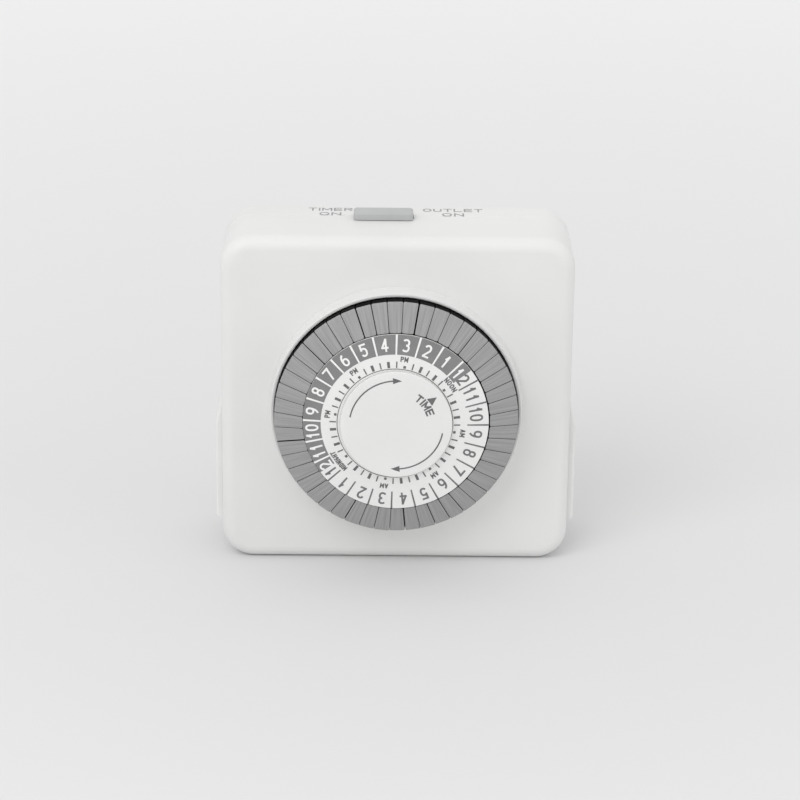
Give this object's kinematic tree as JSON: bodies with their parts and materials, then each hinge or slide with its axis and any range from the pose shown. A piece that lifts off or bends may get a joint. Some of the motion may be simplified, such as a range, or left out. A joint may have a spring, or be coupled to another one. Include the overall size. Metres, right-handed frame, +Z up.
{
  "type": "plug in timer switch",
  "caption": "Plug-in mains timer switch with a turning 24 hour dial of push-in pins, an override slide, an outlet on each side and a three-pin plug behind.",
  "frame": {"origin": "on the flat base, under the middle of the whole object, plug included", "axes": "+X to the right of someone who faces the dial, +Y from the dial towards the wall, +Z up"},
  "size_m": [0.0812, 0.0584, 0.0778],
  "materials": {
    "case_plastic": "satin moulded",
    "outlet_plastic": "satin moulded",
    "disc_plastic": "satin, printed in grey",
    "number_plate": "satin, printed with a grey band and plain numerals",
    "dial_black": "moulded",
    "pin_plastic": "fine radial grain",
    "knob_plastic": "moulded",
    "gear_plastic": "moulded",
    "carrier_plastic": "moulded",
    "steel": "turned",
    "screw_steel": "zinc plated",
    "plate_steel": "stamped",
    "motor_steel": "zinc plated",
    "coil_copper": "enamelled copper wire",
    "contact_brass": "stamped",
    "blade_brass": "nickel plated",
    "wire_cover": "extruded"
  },
  "bodies": {
    "case": {"front_housing": "case_plastic", "rear_housing": "case_plastic", "left_outlet_face": "outlet_plastic", "right_outlet_face": "outlet_plastic", "centre_disc": "disc_plastic", "dial_spindle": "steel", "movement_plate": "plate_steel", "gear_arbors": "steel", "motor_plate": "plate_steel", "motor_can": "motor_steel", "motor_coil": "coil_copper", "motor_gearcase": "gear_plastic", "movement_screws": "steel", "housing_screws": "screw_steel", "lever_pin": "steel", "switch_terminal": "contact_brass", "fixed_contact": "contact_brass", "live_blade": "blade_brass", "neutral_blade": "blade_brass", "ground_pin": "blade_brass", "blade_carrier": "carrier_plastic", "live_clips": "contact_brass", "neutral_clips": "contact_brass", "ground_strap": "contact_brass", "wires": "wire_cover"},
    "dial": {"dial_wheel": "dial_black", "number_plate": "number_plate"},
    "pins_00": {"pins_hour_00": "pin_plastic"},
    "pins_01": {"pins_hour_01": "pin_plastic"},
    "pins_02": {"pins_hour_02": "pin_plastic"},
    "pins_03": {"pins_hour_03": "pin_plastic"},
    "pins_04": {"pins_hour_04": "pin_plastic"},
    "pins_05": {"pins_hour_05": "pin_plastic"},
    "pins_06": {"pins_hour_06": "pin_plastic"},
    "pins_07": {"pins_hour_07": "pin_plastic"},
    "pins_08": {"pins_hour_08": "pin_plastic"},
    "pins_09": {"pins_hour_09": "pin_plastic"},
    "pins_10": {"pins_hour_10": "pin_plastic"},
    "pins_11": {"pins_hour_11": "pin_plastic"},
    "pins_12": {"pins_hour_12": "pin_plastic"},
    "pins_13": {"pins_hour_13": "pin_plastic"},
    "pins_14": {"pins_hour_14": "pin_plastic"},
    "pins_15": {"pins_hour_15": "pin_plastic"},
    "pins_16": {"pins_hour_16": "pin_plastic"},
    "pins_17": {"pins_hour_17": "pin_plastic"},
    "pins_18": {"pins_hour_18": "pin_plastic"},
    "pins_19": {"pins_hour_19": "pin_plastic"},
    "pins_20": {"pins_hour_20": "pin_plastic"},
    "pins_21": {"pins_hour_21": "pin_plastic"},
    "pins_22": {"pins_hour_22": "pin_plastic"},
    "pins_23": {"pins_hour_23": "pin_plastic"},
    "dial_pinion": {"dial_pinion": "gear_plastic"},
    "clutch_wheel": {"clutch_wheel": "gear_plastic"},
    "third_gear": {"third_gear": "gear_plastic"},
    "second_gear": {"second_gear": "gear_plastic"},
    "motor_output": {"motor_output": "steel"},
    "override": {"override_knob": "knob_plastic", "override_slider": "gear_plastic"},
    "lever": {"switch_lever": "gear_plastic"},
    "leaf": {"moving_contact": "contact_brass"}
  },
  "joints": [
    {"name": "dial_turn", "type": "hinge", "parent": "case", "child": "dial", "pos_m": [0, -0.0178, 0.037], "axis": [0, 1, 0], "continuous": true},
    {"name": "pins_00_push", "type": "slide", "parent": "dial", "child": "pins_00", "axis": [0, 1, 0], "range_m": [0, 0.0024]},
    {"name": "pins_01_push", "type": "slide", "parent": "dial", "child": "pins_01", "axis": [0, 1, 0], "range_m": [0, 0.0024]},
    {"name": "pins_02_push", "type": "slide", "parent": "dial", "child": "pins_02", "axis": [0, 1, 0], "range_m": [0, 0.0024]},
    {"name": "pins_03_push", "type": "slide", "parent": "dial", "child": "pins_03", "axis": [0, 1, 0], "range_m": [0, 0.0024]},
    {"name": "pins_04_push", "type": "slide", "parent": "dial", "child": "pins_04", "axis": [0, 1, 0], "range_m": [0, 0.0024]},
    {"name": "pins_05_push", "type": "slide", "parent": "dial", "child": "pins_05", "axis": [0, 1, 0], "range_m": [0, 0.0024]},
    {"name": "pins_06_push", "type": "slide", "parent": "dial", "child": "pins_06", "axis": [0, 1, 0], "range_m": [0, 0.0024]},
    {"name": "pins_07_push", "type": "slide", "parent": "dial", "child": "pins_07", "axis": [0, 1, 0], "range_m": [0, 0.0024]},
    {"name": "pins_08_push", "type": "slide", "parent": "dial", "child": "pins_08", "axis": [0, 1, 0], "range_m": [0, 0.0024]},
    {"name": "pins_09_push", "type": "slide", "parent": "dial", "child": "pins_09", "axis": [0, 1, 0], "range_m": [0, 0.0024]},
    {"name": "pins_10_push", "type": "slide", "parent": "dial", "child": "pins_10", "axis": [0, 1, 0], "range_m": [0, 0.0024]},
    {"name": "pins_11_push", "type": "slide", "parent": "dial", "child": "pins_11", "axis": [0, 1, 0], "range_m": [0, 0.0024]},
    {"name": "pins_12_push", "type": "slide", "parent": "dial", "child": "pins_12", "axis": [0, 1, 0], "range_m": [0, 0.0024]},
    {"name": "pins_13_push", "type": "slide", "parent": "dial", "child": "pins_13", "axis": [0, 1, 0], "range_m": [0, 0.0024]},
    {"name": "pins_14_push", "type": "slide", "parent": "dial", "child": "pins_14", "axis": [0, 1, 0], "range_m": [0, 0.0024]},
    {"name": "pins_15_push", "type": "slide", "parent": "dial", "child": "pins_15", "axis": [0, 1, 0], "range_m": [0, 0.0024]},
    {"name": "pins_16_push", "type": "slide", "parent": "dial", "child": "pins_16", "axis": [0, 1, 0], "range_m": [0, 0.0024]},
    {"name": "pins_17_push", "type": "slide", "parent": "dial", "child": "pins_17", "axis": [0, 1, 0], "range_m": [0, 0.0024]},
    {"name": "pins_18_push", "type": "slide", "parent": "dial", "child": "pins_18", "axis": [0, 1, 0], "range_m": [0, 0.0024]},
    {"name": "pins_19_push", "type": "slide", "parent": "dial", "child": "pins_19", "axis": [0, 1, 0], "range_m": [0, 0.0024]},
    {"name": "pins_20_push", "type": "slide", "parent": "dial", "child": "pins_20", "axis": [0, 1, 0], "range_m": [0, 0.0024]},
    {"name": "pins_21_push", "type": "slide", "parent": "dial", "child": "pins_21", "axis": [0, 1, 0], "range_m": [0, 0.0024]},
    {"name": "pins_22_push", "type": "slide", "parent": "dial", "child": "pins_22", "axis": [0, 1, 0], "range_m": [0, 0.0024]},
    {"name": "pins_23_push", "type": "slide", "parent": "dial", "child": "pins_23", "axis": [0, 1, 0], "range_m": [0, 0.0024]},
    {"name": "dial_pinion_turn", "type": "hinge", "parent": "case", "child": "dial_pinion", "pos_m": [0, -0.0178, 0.0154], "axis": [0, 1, 0], "continuous": true},
    {"name": "motor_turn", "type": "hinge", "parent": "case", "child": "motor_output", "pos_m": [0, -0.0178, 0.024], "axis": [0, 1, 0], "continuous": true},
    {"name": "second_turn", "type": "hinge", "parent": "case", "child": "second_gear", "pos_m": [-0.00802, -0.0178, 0.02809], "axis": [0, 1, 0], "continuous": true},
    {"name": "third_turn", "type": "hinge", "parent": "case", "child": "third_gear", "pos_m": [0.0022, -0.0178, 0.02567], "axis": [0, 1, 0], "continuous": true},
    {"name": "clutch_turn", "type": "hinge", "parent": "case", "child": "clutch_wheel", "pos_m": [0, -0.0178, 0.0154], "axis": [0, 1, 0], "continuous": true},
    {"name": "override_slide", "type": "slide", "parent": "case", "child": "override", "axis": [1, 0, 0], "range_m": [0, 0.0035]},
    {"name": "lever_swing", "type": "hinge", "parent": "case", "child": "lever", "pos_m": [0.033, -0.0088, 0.05122], "axis": [0, 0, -1], "range_deg": [0, 9.94]},
    {"name": "leaf_bend", "type": "hinge", "parent": "case", "child": "leaf", "pos_m": [0.0344, -0.0058, 0.05122], "axis": [0, 0, -1], "range_deg": [0, 8.6]}
  ],
  "couplings": [
    {"joint": "dial_pinion_turn", "follows": "dial_turn", "ratio": -8},
    {"joint": "second_turn", "follows": "motor_turn", "ratio": -0.2},
    {"joint": "third_turn", "follows": "motor_turn", "ratio": 0.033333},
    {"joint": "clutch_turn", "follows": "motor_turn", "ratio": -0.0055556},
    {"joint": "lever_swing", "follows": "pins_12_push", "rad_per_m": 72.212},
    {"joint": "leaf_bend", "follows": "pins_12_push", "rad_per_m": 62.491}
  ]
}
